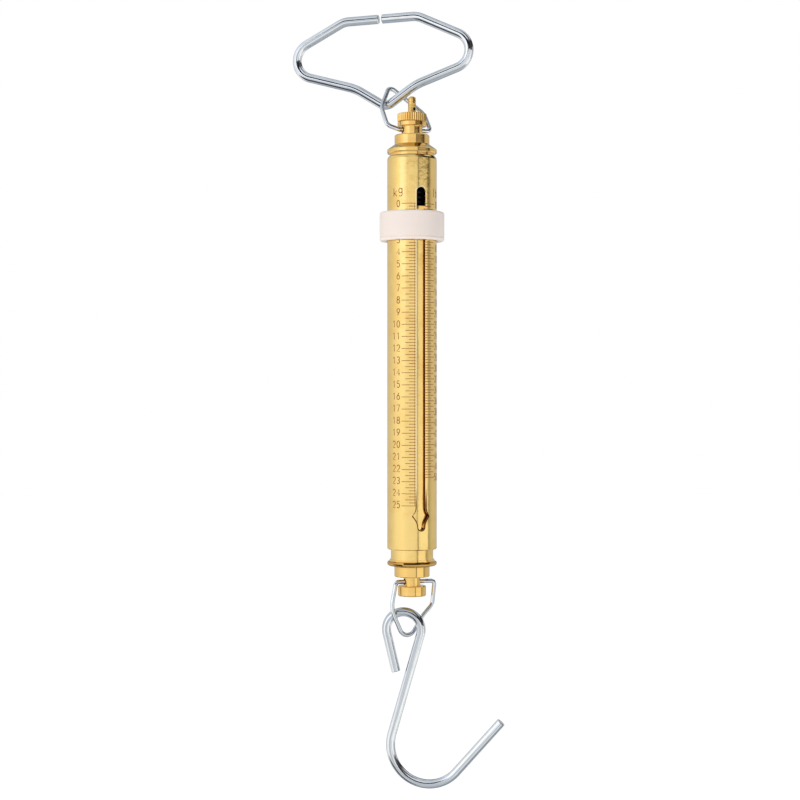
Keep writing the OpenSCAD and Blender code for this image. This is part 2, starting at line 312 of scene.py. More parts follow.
def tubeBrassMaterial():
    look = brassLook
    material, tree, shader = newMaterial("tubeBrass", look["tubeCoat"])
    place = axisCoords(tree)
    x, y, z = splitXyz(tree, place)
    radius = hypotenuse(tree, x, y)
    # painted shade: the bores get a dark red-brown colour and dull roughness; the inner tube's outside lies
    # between them
    innerBore = mapRange(tree, radius, *look["innerBore"], 1.0, 0.0)
    boreShadeMask = calc(tree, "MAXIMUM", innerBore, window(tree, radius, *look["outerBore"]))
    lines = effect(tree, drawnLines, Vector=place)["Height"]
    stains = effect(tree, patina, Vector=place)
    color = look["tube"]
    for kind, share in (("Stain", look["tubeStains"]), ("Speck", look["tubeSpecks"])):
        color = mixColor(tree, times(tree, stains[kind], share), color, look["tubeStain"])
    # painted highlight: the slot's walls are painted pale; painted shade: a dark brown edge is painted along
    # the slot's foot
    wall = times(tree, window(tree, radius, *look["slotWall"]), window(tree, z, *look["slotHeights"]))
    foot = mapRange(tree, z, *look["footShadeHeights"], 1.0, 0.0)
    color = mixColor(tree, wall, color, mixColor(tree, foot, look["wall"], look["footShade"]))
    # painted shade: dark red-brown laid inside the bores
    color = mixColor(tree, boreShadeMask, color, look["bore"])
    rough = mapRange(tree, lines, 0.3, 0.7, *look["tubeRoughness"])
    rough = plus(tree, rough, times(tree, stains["Stain"], 0.06))
    rough = calc(tree, "MAXIMUM", rough, times(tree, boreShadeMask, look["boreRoughness"]))
    finishWith(tree, shader, color, rough)
    # fine drawing lines on a slow unevenness
    fine = bumpOn(tree, shader, lines, *look["tubeBump"])
    strength, depth = look["waveBump"]
    waves = noise(tree, place, look["waveScale"], 2.0)
    slow = put(tree, "ShaderNodeBump", {"Height": waves, "Strength": strength, "Distance": depth})
    tree.links.new(slow.outputs[0], fine.inputs["Normal"])
    return material


def turnedBrassMaterial():
    look = brassLook
    material, tree, shader = newMaterial("turnedBrass", look["turnedCoat"])
    place = axisCoords(tree)
    rings = effect(tree, latheMarks, Vector=place)
    stains = effect(tree, patina, Vector=place, Patches=look["turnedPatches"])
    tone = mapRange(tree, rings["Tone"], 0.35, 0.7, 0.0, 0.4)
    color = mixColor(tree, tone, look["turned"], look["turnedDeep"])
    color = mixColor(tree, times(tree, stains["Stain"], look["turnedStains"]), color, look["turnedDeep"])
    # painted shade: the lower flange's rim is painted browner than the rest
    x, y, z = splitXyz(tree, place)
    color = mixColor(tree, window(tree, z, *look["rimShadeHeights"]), color, look["rim"])
    # painted shade: the two cross holes that the links run through are painted dark inside
    across = minus(tree, times(tree, y, math.cos(tubeTurn)), times(tree, x, math.sin(tubeTurn)))
    holes = []
    for height in (0.0, look["lowerHole"]):
        apart = hypotenuse(tree, across, minus(tree, z, height))
        holes.append(mapRange(tree, apart, *look["holeEdge"], 1.0, 0.0))
    holeShadeMask = calc(tree, "MAXIMUM", *holes)
    color = mixColor(tree, holeShadeMask, color, look["hole"])
    rough = mapRange(tree, rings["Height"], 0.3, 0.7, *look["turnedRoughness"])
    finishWith(tree, shader, color, calc(tree, "MAXIMUM", rough, times(tree, holeShadeMask, look["holeRoughness"])))
    bumpOn(tree, shader, rings["Height"], *look["turnedBump"])
    return material


wireLook = {
    "zinc": (0.84, 0.87, 0.90, 1),
    "zincShade": (0.72, 0.75, 0.79, 1),
    "zincStreak": (0.46, 0.50, 0.55, 1),
    "roughness": (0.06, 0.14),
    "bump": (0.1, 0.0002),
    # how close the lines lie around the wire and along it
    "fineLines": {"Across": 7.0, "Along": 60.0},
    "streaks": {"Across": 2.4, "Along": 5.0},
    "patches": 220.0,
}


def brightWireMaterial():
    look = wireLook
    material, tree, shader = newMaterial("brightWire", {"Metallic": 1.0})
    along = put(tree, "ShaderNodeAttribute", attribute_name="wirePlace").outputs["Vector"]
    lines = effect(tree, drawnLines, Vector=along, **look["fineLines"])["Height"]
    stains = effect(tree, patina, Vector=axisCoords(tree), Patches=look["patches"])
    streaks = effect(tree, drawnLines, Vector=along, **look["streaks"])["Height"]
    color = mixColor(tree, times(tree, stains["Stain"], 0.5), look["zinc"], look["zincShade"])
    color = mixColor(tree, mapRange(tree, streaks, 0.52, 0.60, 0.0, 1.0, True), color, look["zincStreak"])
    rough = mapRange(tree, lines, 0.3, 0.7, *look["roughness"])
    finishWith(tree, shader, color, plus(tree, rough, times(tree, stains["Speck"], 0.12)))
    bumpOn(tree, shader, lines, *look["bump"])
    return material


steelLook = {
    # dark oiled steel, darkened further with painted shade so the spring inside the tube reads black
    "oiledAndShaded": (0.024, 0.024, 0.026, 1),
    "stained": (0.013, 0.012, 0.012, 1),
    "roughness": (0.45, 0.65),
    "bump": (0.15, 0.0001),
}


def darkSteelMaterial():
    look = steelLook
    material, tree, shader = newMaterial("oiledShadedSteel", {"Metallic": 1.0})
    place = axisCoords(tree)
    rings = effect(tree, latheMarks, Vector=place)["Height"]
    color = mixColor(tree, effect(tree, patina, Vector=place)["Stain"], look["oiledAndShaded"], look["stained"])
    finishWith(tree, shader, color, mapRange(tree, rings, 0.3, 0.7, *look["roughness"]))
    bumpOn(tree, shader, rings, *look["bump"])
    return material


plasticLook = {
    "base": (0.91, 0.81, 0.75, 1),
    "warm": (0.89, 0.78, 0.71, 1),
    "roughness": (0.30, 0.42),
    "bump": (0.06, 0.0002),
    "body": {"Subsurface Weight": 0.15, "Subsurface Scale": 0.002, "Subsurface Radius": (1.0, 0.8, 0.6),
             "IOR": 1.5},
}


def whitePlasticMaterial():
    look = plasticLook
    material, tree, shader = newMaterial("whitePlastic", look["body"])
    place = axisCoords(tree)
    slow = noise(tree, place, 70.0, 3.0)
    color = mixColor(tree, mapRange(tree, slow, 0.35, 0.7, 0.0, 0.6), look["base"], look["warm"])
    finishWith(tree, shader, color, mapRange(tree, slow, 0.3, 0.7, *look["roughness"]))
    bumpOn(tree, shader, noise(tree, place, 2600.0, 2.0), *look["bump"])
    return material


markLook = {
    "filler": (0.27, 0.075, 0.03, 1),
    "worn": (0.42, 0.16, 0.06, 1),
    "roughness": (0.45, 0.65),
}


def markMaterial():
    # dark filler left in the rolled graduation
    look = markLook
    material, tree, shader = newMaterial("markFill", {"Specular IOR Level": 0.3})
    worn = noise(tree, axisCoords(tree), 900.0, 3.0)
    color = mixColor(tree, mapRange(tree, worn, 0.45, 0.75, 0.0, 1.0), look["filler"], look["worn"])
    finishWith(tree, shader, color, mapRange(tree, worn, 0.3, 0.7, *look["roughness"]))
    return material


tubeBrass, turnedBrass, brightWire = tubeBrassMaterial(), turnedBrassMaterial(), brightWireMaterial()
oiledShadedSteel, whitePlastic, markFill = darkSteelMaterial(), whitePlasticMaterial(), markMaterial()
print("finishes made")


def paint(material, *names):
    for name in names:
        slots = cadNodes[name].data.materials
        slots.clear()
        slots.append(material)


paint(tubeBrass, "outer_tube", "inner_tube")
paint(turnedBrass, "top_cap", "bottom_cap", "guide_bush", "guide_collar", "index", "seat_ring", "rod_nut",
      "zero_nut", "zero_rod")
paint(oiledShadedSteel, "keeper_pin", "upper_plug", "lower_plug", "anchor_stud", "anchor_nut", "spring")
paint(whitePlastic, "marker_ring")


# bent wires: a line through the corners, each corner rounded by its own bend radius

def readValue(tree, name, kind="FLOAT"):
    return put(tree, "GeometryNodeInputNamedAttribute", {"Name": name}, data_type=kind).outputs["Attribute"]


def storeValue(tree, geometry, name, value, kind="FLOAT"):
    given = {"Geometry": geometry, "Name": name, "Value": value}
    return put(tree, "GeometryNodeStoreNamedAttribute", given, data_type=kind, domain="POINT").outputs[0]


def circle(tree, corners, radius):
    return put(tree, "GeometryNodeCurvePrimitiveCircle", {"Resolution": corners, "Radius": radius}).outputs[0]


def sweep(tree, curve, section, more=None):
    given = {"Curve": curve, "Profile Curve": section, **(more or {})}
    return put(tree, "GeometryNodeCurveToMesh", given).outputs[0]


def bentWireTree():
    tree, given, result = geometryTree("bentWire", [("Wire Radius", "float", 0.0023), ("Around", "int", 28),
                                                    ("Bend Steps", "int", 16)])
    line = put(tree, "GeometryNodeMeshToCurve", {"Mesh": given["Geometry"]}).outputs[0]
    bend = {"Curve": line, "Count": given["Bend Steps"], "Radius": readValue(tree, "bend")}
    rounded = put(tree, "GeometryNodeFilletCurve", bend, mode="POLY").outputs[0]
    sized = {"Curve": rounded, "Radius": readValue(tree, "width")}
    sized = put(tree, "GeometryNodeSetCurveRadius", sized).outputs[0]
    length = put(tree, "GeometryNodeSplineParameter").outputs["Length"]
    measured = storeValue(tree, sized, "alongWire", length)
    section = circle(tree, given["Around"], given["Wire Radius"])
    sides = calcVector(tree, "NORMALIZE", put(tree, "GeometryNodeInputPosition").outputs[0])
    section = storeValue(tree, section, "aroundWire", sides, "FLOAT_VECTOR")
    thickness = put(tree, "GeometryNodeInputRadius").outputs[0]
    tube = sweep(tree, measured, section, {"Scale": thickness, "Fill Caps": True})
    # where a point is around the wire and along it, for the finish
    sideX, sideY = splitXyz(tree, readValue(tree, "aroundWire", "FLOAT_VECTOR"))[:2]
    place = joinXyz(tree, sideX, sideY, readValue(tree, "alongWire"))
    closeTree(tree, given, result, storeValue(tree, tube, "wirePlace", place, "FLOAT_VECTOR"))
    return tree


bentWire = bentWireTree()

# all in mm and degrees; points are counted from the wire's own origin, to the right and up
wireCut = {"chamfer": 0.22, "around": 28}
handleWire = {
    "points": [(0.95, 0), (19.38, 0), (61.13, -20.46), (17.86, -34.65), (1.92, -45), (-14.02, -34.65),
               (-61.13, -20.46), (-19.38, 0), (-0.95, 0)],
    "bends": [0, 11, 9.3, 28, 5.2, 28, 9.3, 11, 0],
    "radius": 2.3, "yaw": -15, "tilt": -1.45,
}
upperWire = {
    "points": [(-2.9, 0), (-6.6, 0), (-13, 2.5), (-13.9, 13.6), (-6.84, 27.87), (8.8, 11.1), (10.2, 0),
               (2.9, 0)],
    "bends": [0, 2.4, 3.6, 9, 2.36, 8, 2.2, 0],
    "radius": 1.1, "lean": -30,
}
lowerWire = {
    "points": [(-0.9, 0), (-8.7, 0), (-11.3, -13.6), (-3.15, -31.4), (6, -17.3), (11, -12), (12.35, 0),
               (0.9, 0)],
    "bends": [0, 1.8, 14, 4.2, 8, 5, 1.8, 0],
    "radius": 1.1, "holeHeight": -227.7,
}
# the hook's bending table: straight, turn and bend radius, from the cut end of the eye to the tip
hookWire = {
    "eye": (-4.25, -24.11), "startHeading": 103.6, "radius": 2.3,
    "yaw": -12, "forward": -1.62, "holeHeight": -227.7,
    "table": [(19.8, -209.8, 8.9), (52.4, 154.8, 19.2), (34.6, 0, 0)],
}


def wireStart(name, points, radii, wireRadius):
    # the corner points with their bend radii, plus two close points at each end for the cut edge
    chamfer = wireCut["chamfer"]
    first = (points[1] - points[0]).normalized()
    last = (points[-2] - points[-1]).normalized()
    path = [points[0], points[0] + first * chamfer] + points[1:-1] + [points[-1] + last * chamfer, points[-1]]
    bends = [0, 0] + list(radii[1:-1]) + [0, 0]
    thin = 1 - chamfer / wireRadius
    widths = [thin] + [1] * (len(path) - 2) + [thin]
    mesh = bpy.data.meshes.new(name + "Line")
    mesh.from_pydata([p * mm for p in path], [(i, i + 1) for i in range(len(path) - 1)], [])
    mesh.attributes.new("bend", "FLOAT", "POINT").data.foreach_set("value", [b * mm for b in bends])
    mesh.attributes.new("width", "FLOAT", "POINT").data.foreach_set("value", widths)
    return mesh


def makeWire(name, node, body, points, bends, radius, matrix, steps=16):
    start = wireStart(name, points, bends, radius)
    values = {"Wire Radius": radius * mm, "Around": wireCut["around"], "Bend Steps": steps}
    piece = grow(name, bentWire, values, brightWire, start)
    settle(piece, matrix, 40)
    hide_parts(node)
    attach(piece, body)


def upright(x, z):
    return Vector((x, 0, z))


def pointsWire(name, node, spec, matrix):
    points = [upright(x, z) for x, z in spec["points"]]
    makeWire(name, node, node, points, spec["bends"], spec["radius"], matrix)


def hookCorners(spec):
    # walks the bending table and gives the corner points between the straights
    heading = math.radians(spec["startHeading"])
    eyeX, eyeZ = spec["eye"]
    leg, eyeRadius = spec["table"][0][::2]
    spot = upright(eyeX - eyeRadius * math.sin(heading) - leg * math.cos(heading),
                   eyeZ + eyeRadius * math.cos(heading) - leg * math.sin(heading))
    path, bends = [spot], [0]
    for feed, turn, radius in spec["table"]:
        spot = spot + upright(math.cos(heading), math.sin(heading)) * feed
        if turn == 0:
            path.append(spot)
            bends.append(0)
            break
        # long turns are split so that each corner stays well under a half turn
        parts = max(1, math.ceil(abs(turn) / 60))
        step = math.radians(turn / parts)
        reach = radius * math.tan(abs(step) / 2)
        for part in range(parts):
            path.append(spot + upright(math.cos(heading), math.sin(heading)) * reach)
            bends.append(radius)
            heading += step
            spot = path[-1] + upright(math.cos(heading), math.sin(heading)) * reach
    return path, bends


handleTurn = turned(handleWire["yaw"], "Z") @ turned(handleWire["tilt"], "Y")
pointsWire("handleLoop", "handle", handleWire, handleTurn)
pointsWire("upperBail", "upper_link", upperWire, caseFrame @ turned(upperWire["lean"], "X"))
pointsWire("lowerBail", "lower_link", lowerWire, caseFrame @ lifted(lowerWire["holeHeight"]))
hookPath, hookBends = hookCorners(hookWire)
hookPlace = Matrix.Translation(hang + Vector((0, hookWire["forward"], hookWire["holeHeight"])) * mm)
makeWire("loadHook", "load_hook", "load_hook", hookPath, hookBends, hookWire["radius"],
         hookPlace @ turned(hookWire["yaw"], "Z"), steps=12)
print("wires bent")


# spring: a helix that stretches between case and plunger

springCoil = {
    "wireRadius": 1.25, "meanRadius": 7.8, "turns": 69, "top": -28.8, "bottom": -203.1,
    "slack": 0.985,  # share of the wire's radius that is drawn, so that the turns don't fuse
    "steps": 30, "around": 12,
}


def coilTree():
    tree, given, result = geometryTree("coilSpring", [
        ("Wire Radius", "float", 0.00125), ("Mean Radius", "float", 0.0078), ("Turns", "float", 69.0),
        ("Height", "float", 0.17), ("Steps", "int", 30), ("Around", "int", 12)])
    helix = put(tree, "GeometryNodeCurveSpiral", {
        "Resolution": given["Steps"], "Rotations": given["Turns"], "Start Radius": given["Mean Radius"],
        "End Radius": given["Mean Radius"], "Height": given["Height"]}).outputs[0]
    coil = sweep(tree, helix, circle(tree, given["Around"], given["Wire Radius"]), {"Fill Caps": True})
    closeTree(tree, given, result, coil)
    return tree


def makeSpring(spec):
    piece = grow("coilSpring", coilTree(), {
        "Wire Radius": spec["wireRadius"] * mm * spec["slack"], "Mean Radius": spec["meanRadius"] * mm,
        "Turns": float(spec["turns"] - 1), "Steps": spec["steps"], "Around": spec["around"],
        "Height": (spec["top"] - spec["bottom"] - 2 * spec["wireRadius"]) * mm}, oiledShadedSteel)
    settle(piece, caseFrame @ lifted(spec["bottom"] + spec["wireRadius"]), 50)
    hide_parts("spring")
    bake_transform(piece)


makeSpring(springCoil)
print("spring wound")


# zero nut with straight knurling

nutSize = {
    "outer": 7.3, "bore": 2.13, "low": 4.25, "high": 8.3, "ribs": 38, "depth": 0.34, "chamfer": 0.2,
    "skin": 0.6,  # the ribs fade out this far below the outside
}


def knurlTree():
    tree, given, result = geometryTree("knurledNut", [
        ("Outer Radius", "float", 0.0073), ("Bore Radius", "float", 0.0021), ("Height", "float", 0.0036),
        ("Chamfer", "float", 0.0002), ("Ribs", "int", 38), ("Depth", "float", 0.0003),
        ("Skin", "float", 0.0006)])
    outer, ribs = given["Outer Radius"], given["Ribs"]
    middle = times(tree, plus(tree, outer, given["Bore Radius"]), 0.5)
    path = circle(tree, times(tree, ribs, 8), middle)
    section = {"Width": minus(tree, outer, given["Bore Radius"]), "Height": given["Height"]}
    section = put(tree, "GeometryNodeCurvePrimitiveQuadrilateral", section).outputs[0]
    section = {"Curve": section, "Count": 1, "Radius": given["Chamfer"]}
    section = put(tree, "GeometryNodeFilletCurve", section, mode="POLY").outputs[0]
    # the outside is pulled in between the ribs
    x, y = splitXyz(tree, put(tree, "GeometryNodeInputPosition").outputs[0])[:2]
    radius = hypotenuse(tree, x, y)
    angle = times(tree, calc(tree, "ARCTAN2", y, x), ribs)
    wave = mapRange(tree, calc(tree, "COSINE", angle), -1.0, 0.8, 1.0, 0.0)
    outside = mapRange(tree, radius, minus(tree, outer, given["Skin"]), outer, 0.0, 1.0)
    cut = times(tree, times(tree, wave, outside), given["Depth"])
    share = calc(tree, "DIVIDE", cut, radius)
    inward = (times(tree, times(tree, side, share), -1.0) for side in (x, y))
    inward = joinXyz(tree, *inward, 0.0)
    ring = {"Geometry": sweep(tree, path, section), "Offset": inward}
    closeTree(tree, given, result, put(tree, "GeometryNodeSetPosition", ring).outputs[0])
    return tree


def makeNut(spec):
    piece = grow("knurledNut", knurlTree(), {
        "Outer Radius": spec["outer"] * mm, "Bore Radius": spec["bore"] * mm, "Chamfer": spec["chamfer"] * mm,
        "Height": (spec["high"] - spec["low"]) * mm, "Ribs": spec["ribs"], "Depth": spec["depth"] * mm,
        "Skin": spec["skin"] * mm}, turnedBrass)
    settle(piece, caseFrame @ lifted((spec["high"] + spec["low"]) / 2), 35)
    # the level edges stay crisp, so that the ribs shade as straight flutes
    for edge in piece.data.edges:
        start, end = (piece.data.vertices[i].co.z for i in edge.vertices)
        if abs(start - end) < 1e-6:
            edge.use_edge_sharp = True
    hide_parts("zero_nut")
    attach(piece, "zero_nut")


makeNut(nutSize)


# zero rod with its thread

rodSize = {
    "radius": 2.05, "root": 1.95, "pitch": 0.7, "threadTop": 13.5, "threadLow": 3.0,
    "around": 48, "rowsPerPitch": 8,
    # radius and height of the rings above the thread: a groove, a plain band and the dome's foot
    "tip": [(2.05, 13.9), (1.8, 14.0), (1.8, 14.35), (2.05, 14.45), (2.05, 15.45), (1.84, 15.6),
            (1.84, 15.85), (1.93, 15.95)],
    "domeRadius": 1.93, "domeFoot": 15.95, "domeRise": 1.22, "domeAngles": (20, 40, 60, 78),
    "low": -40.0, "lowChamfer": 0.3,
    "pinHeight": 10.6, "pinTurn": 17.2, "pinRadius": 0.77, "drillLength": 8,
}


def threadTree():
    # a sheet of rows and columns rolled to a rod; rows inside the thread follow a helix
    tree, given, result = geometryTree("threadedRod", [
        ("Radius", "float", 0.002), ("Root", "float", 0.0017), ("Pitch", "float", 0.0007),
        ("Low", "float", 0.0), ("High", "float", 0.01), ("Rows", "int", 160), ("Columns", "int", 40)])
    low, high, pitch, root = (given[key] for key in ("Low", "High", "Pitch", "Root"))
    size = minus(tree, high, low)
    sheet = {"Size X": 1.0, "Size Y": size, "Vertices X": given["Columns"], "Vertices Y": given["Rows"]}
    sheet = put(tree, "GeometryNodeMeshGrid", sheet).outputs[0]
    x, y = splitXyz(tree, put(tree, "GeometryNodeInputPosition").outputs[0])[:2]
    height = plus(tree, plus(tree, y, times(tree, size, 0.5)), low)
    angle = times(tree, x, 2 * math.pi)
    phase = minus(tree, calc(tree, "DIVIDE", height, pitch), x)
    ridge = mapRange(tree, calc(tree, "PINGPONG", phase, 0.5), 0.08, 0.42, 0.0, 1.0)
    # the thread runs out over one pitch at each end
    nearLow = mapRange(tree, height, low, plus(tree, low, pitch), 0.0, 1.0)
    nearHigh = mapRange(tree, height, minus(tree, high, pitch), high, 1.0, 0.0)
    ridge = minus(tree, 1.0, times(tree, minus(tree, 1.0, ridge), times(tree, nearLow, nearHigh)))
    radius = plus(tree, root, times(tree, ridge, minus(tree, given["Radius"], root)))
    rolled = joinXyz(tree, times(tree, calc(tree, "COSINE", angle), radius),
                     times(tree, calc(tree, "SINE", angle), radius), height)
    rod = put(tree, "GeometryNodeSetPosition", {"Geometry": sheet, "Position": rolled}).outputs[0]
    closeTree(tree, given, result, rod)
    return tree


def addRings(work, fromHeight, profile):
    # continues the mesh from its open rim at one height with rings of the same corners, and closes the end
    edge = sorted((v for v in work.verts if abs(v.co.z - fromHeight * mm) < 1e-6),
                  key=lambda v: math.atan2(v.co.y, v.co.x))
    count = len(edge)
    for radius, height in profile:
        ring = []
        for v in edge:
            share = radius * mm / math.hypot(v.co.x, v.co.y)
            ring.append(work.verts.new((v.co.x * share, v.co.y * share, height * mm)))
        for i in range(count):
            work.faces.new((edge[i], edge[(i + 1) % count], ring[(i + 1) % count], ring[i]))
        edge = ring
    work.faces.new(edge)


def drillPinHole(piece, spec):
    # cross hole for the keeper pin
    bpy.ops.mesh.primitive_cylinder_add(vertices=24, radius=spec["pinRadius"] * mm,
                                        depth=spec["drillLength"] * mm)
    cutter = bpy.context.object
    cutter.data.transform(lifted(spec["pinHeight"]) @ turned(spec["pinTurn"], "Z") @ turned(90, "X"))
    cut = piece.modifiers.new("pinHole", "BOOLEAN")
    cut.operation, cut.solver, cut.object = "DIFFERENCE", "EXACT", cutter
    drilled = bpy.data.meshes.new_from_object(piece.evaluated_get(bpy.context.evaluated_depsgraph_get()))
    piece.modifiers.clear()
    piece.data = drilled
    bpy.data.objects.remove(cutter)


def makeRod(spec):
    rows = int((spec["threadTop"] - spec["threadLow"]) / spec["pitch"] * spec["rowsPerPitch"]) + 1
    piece = grow("threadedRod", threadTree(), {
        "Radius": spec["radius"] * mm, "Root": spec["root"] * mm, "Pitch": spec["pitch"] * mm,
        "Low": spec["threadLow"] * mm, "High": spec["threadTop"] * mm, "Rows": rows,
        "Columns": spec["around"] + 1}, turnedBrass)
    # plain shank below, grooved and rounded tip above
    work = bmesh.new()
    work.from_mesh(piece.data)
    bmesh.ops.remove_doubles(work, verts=work.verts, dist=1e-7)
    dome = [(spec["domeRadius"] * math.cos(a), spec["domeFoot"] + spec["domeRise"] * math.sin(a))
            for a in map(math.radians, spec["domeAngles"])]
    addRings(work, spec["threadTop"], spec["tip"] + dome)
    radius, low, chamfer = spec["radius"], spec["low"], spec["lowChamfer"]
    addRings(work, spec["threadLow"], [(radius, low + chamfer), (radius - chamfer, low)])
    work.to_mesh(piece.data)
    work.free()
    settle(piece, None, 32)
    drillPinHole(piece, spec)
    settle(piece, caseFrame, 32)
    piece.data.materials.clear()
    piece.data.materials.append(turnedBrass)
    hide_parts("zero_rod")
    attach(piece, "zero_rod")


makeRod(rodSize)
print("nut and rod made")


# graduation: ticks and numerals lie on the tube, right up to the slot's rim

# heights, steps, signs and strokes in mm; edges, tick lengths, columns, units and the closing line in degrees
# around the tube, counted from the slot's middle
graduation = {
    "radius": 12.5, "proud": 0.02, "sunk": 0.03, "lineWidth": 0.30, "middleEvery": 2, "longEvery": 4,
    "kgZero": -38.1, "kgStep": 6.03, "kgCount": 25, "kgDivisions": 4,
    "kgEdge": -13.6, "kgLengths": (33.0, 24.0, 15.6),
    "lbZero": -38.1, "lbStep": 2.733, "lbCount": 50, "lbDivisions": 2,
    "lbEdge": 11.6, "lbLengths": (28.5, 24.5, 15.5),
    "kgRight": -51.0, "numberStep": 6.006, "lbNumbers": 52.0,
    "digitHeight": 3.3, "digitWidth": 1.95, "digitGap": 0.75, "strokeWidth": 0.40,
    "unitWidth": 2.5, "unitHeight": 4.2, "unitLevel": -32.3, "kgUnit": -56.8, "lbUnit": 44.5,
    "rimLine": -15.8, "rimWidth": 0.24,
}


def wrapGroup():
    # unrolled sheet to tube: X is arc length from the slot's middle, Y stands out of the surface, Z is height
    tree, given, result = newGroup("wrapOnTube", "GeometryNodeTree",
                                   [("Geometry", "geometry", None), ("Radius", "float", 0.0125)],
                                   [("Geometry", "geometry")])
    x, y, z = splitXyz(tree, put(tree, "GeometryNodeInputPosition").outputs[0])
    angle = calc(tree, "DIVIDE", x, given["Radius"])
    reach = plus(tree, given["Radius"], y)
    rolled = joinXyz(tree, times(tree, calc(tree, "SINE", angle), reach),
                     times(tree, times(tree, calc(tree, "COSINE", angle), reach), -1.0), z)
    moved = put(tree, "GeometryNodeSetPosition", {"Geometry": given["Geometry"], "Position": rolled})
    tree.links.new(moved.outputs[0], result["Geometry"])
    return tree


wrapOnTube = wrapGroup()


def wrapped(tree, geometry, radius):
    given = {"Geometry": geometry, "Radius": radius}
    return put(tree, "GeometryNodeGroup", given, node_tree=wrapOnTube).outputs[0]


def midDepth(tree, given):
    # where the middle of a mark's thickness lies, counted outwards from the surface
    return times(tree, minus(tree, given["Proud"], given["Sunk"]), 0.5)


def tickTree():
    tree, given, result = geometryTree("scaleTicks", [
        ("Radius", "float", 0.0125), ("Count", "int", 100), ("Spacing", "float", 0.0015),
        ("Top", "float", 0.0), ("Edge", "float", 0.0), ("Side", "float", -1.0),
        ("Middle Every", "int", 2), ("Long Every", "int", 4),
        ("Short", "float", 0.003), ("Middle", "float", 0.005), ("Long", "float", 0.007),
        ("Line Width", "float", 0.00025), ("Proud", "float", 0.00002), ("Sunk", "float", 0.00003)])
    down = joinXyz(tree, 0.0, 0.0, times(tree, given["Spacing"], -1.0))
    start = joinXyz(tree, given["Edge"], 0.0, given["Top"])
    rows = {"Count": given["Count"], "Start Location": start, "Offset": down}
    rows = put(tree, "GeometryNodeMeshLine", rows).outputs[0]
    index = put(tree, "GeometryNodeInputIndex").outputs[0]
    length = given["Short"]
    for every, shorter, longer in (("Middle Every", "Short", "Middle"), ("Long Every", "Middle", "Long")):
        chosen = calc(tree, "COMPARE", calc(tree, "MODULO", index, given[every]), 0.0, 0.5)
        length = plus(tree, length, times(tree, chosen, minus(tree, given[longer], given[shorter])))
    # one bar a metre long, scaled to each tick's length
    thick = plus(tree, given["Proud"], given["Sunk"])
    bar = {"Size": joinXyz(tree, 1.0, thick, given["Line Width"]), "Vertices X": 9}
    bar = put(tree, "GeometryNodeMeshCube", bar).outputs[0]
    shift = joinXyz(tree, times(tree, given["Side"], 0.5), midDepth(tree, given), 0.0)
    bar = put(tree, "GeometryNodeSetPosition", {"Geometry": bar, "Offset": shift}).outputs[0]
    bars = {"Points": rows, "Instance": bar, "Scale": joinXyz(tree, length, 1.0, 1.0)}
    bars = put(tree, "GeometryNodeInstanceOnPoints", bars).outputs[0]
    bars = put(tree, "GeometryNodeRealizeInstances", {0: bars}).outputs[0]
    closeTree(tree, given, result, wrapped(tree, bars, given["Radius"]))
    return tree


def strokeTree():
    tree, given, result = geometryTree("numeralStrokes", [
        ("Radius", "float", 0.0125), ("Stroke Width", "float", 0.0003), ("Proud", "float", 0.00002),
        ("Sunk", "float", 0.00003)])
    line = put(tree, "GeometryNodeMeshToCurve", {"Mesh": given["Geometry"]}).outputs[0]
    level = {"Curve": line, "Normal": (0.0, -1.0, 0.0)}
    line = put(tree, "GeometryNodeSetCurveNormal", level, mode="FREE").outputs[0]
    section = {"Width": plus(tree, given["Proud"], given["Sunk"]), "Height": given["Stroke Width"]}
    section = put(tree, "GeometryNodeCurvePrimitiveQuadrilateral", section).outputs[0]
    strokes = sweep(tree, line, section, {"Fill Caps": True})
    strokes = {"Geometry": strokes, "Offset": joinXyz(tree, 0.0, midDepth(tree, given), 0.0)}
    strokes = put(tree, "GeometryNodeSetPosition", strokes).outputs[0]
    closeTree(tree, given, result, wrapped(tree, strokes, given["Radius"]))
    return tree


def arc(cx, cy, rx, ry, start, end, count=12):
    turn = [math.radians(start + (end - start) * i / count) for i in range(count + 1)]
    return [(cx + rx * math.cos(a), cy + ry * math.sin(a)) for a in turn]


# each sign is a list of strokes on a sheet one wide and one high
signs = {
    "0": [arc(0.5, 0.5, 0.42, 0.5, 90, 450, 20)],
    "1": [[(0.25, 0.78), (0.58, 1.0), (0.58, 0.0)]],
    "2": [arc(0.5, 0.7, 0.42, 0.3, 165, -35) + [(0.06, 0.0), (0.95, 0.0)]],
    "3": [arc(0.47, 0.75, 0.38, 0.25, 150, -90), arc(0.47, 0.26, 0.43, 0.25, 90, -150)],
    "4": [[(0.7, 0.0), (0.7, 1.0), (0.03, 0.28), (0.97, 0.28)]],
    "5": [[(0.86, 1.0), (0.2, 1.0), (0.13, 0.56)] + arc(0.47, 0.32, 0.43, 0.33, 128, -145)],
    "6": [[(0.72, 1.0), (0.3, 0.62)] + arc(0.5, 0.3, 0.42, 0.3, 150, 510, 18)],
    "7": [[(0.05, 1.0), (0.93, 1.0), (0.35, 0.0)]],
    "8": [arc(0.5, 0.76, 0.36, 0.24, -90, 270, 16), arc(0.5, 0.26, 0.43, 0.26, 90, 450, 16)],
    "9": [[(0.28, 0.0), (0.7, 0.38)] + arc(0.5, 0.7, 0.42, 0.3, -30, 330, 18)],
    "k": [[(0.12, 0.0), (0.12, 1.0)], [(0.82, 0.66), (0.12, 0.26)], [(0.36, 0.4), (0.88, 0.0)]],
    "g": [arc(0.46, 0.66, 0.38, 0.27, 0, 360, 16),
          [(0.84, 0.93), (0.84, 0.2)] + arc(0.46, 0.2, 0.38, 0.2, 0, -140, 8)],
    "l": [[(0.5, 1.0), (0.5, 0.0)]],
    "b": [[(0.14, 1.0), (0.14, 0.0)], arc(0.5, 0.34, 0.37, 0.33, 180, 540, 16)],
}


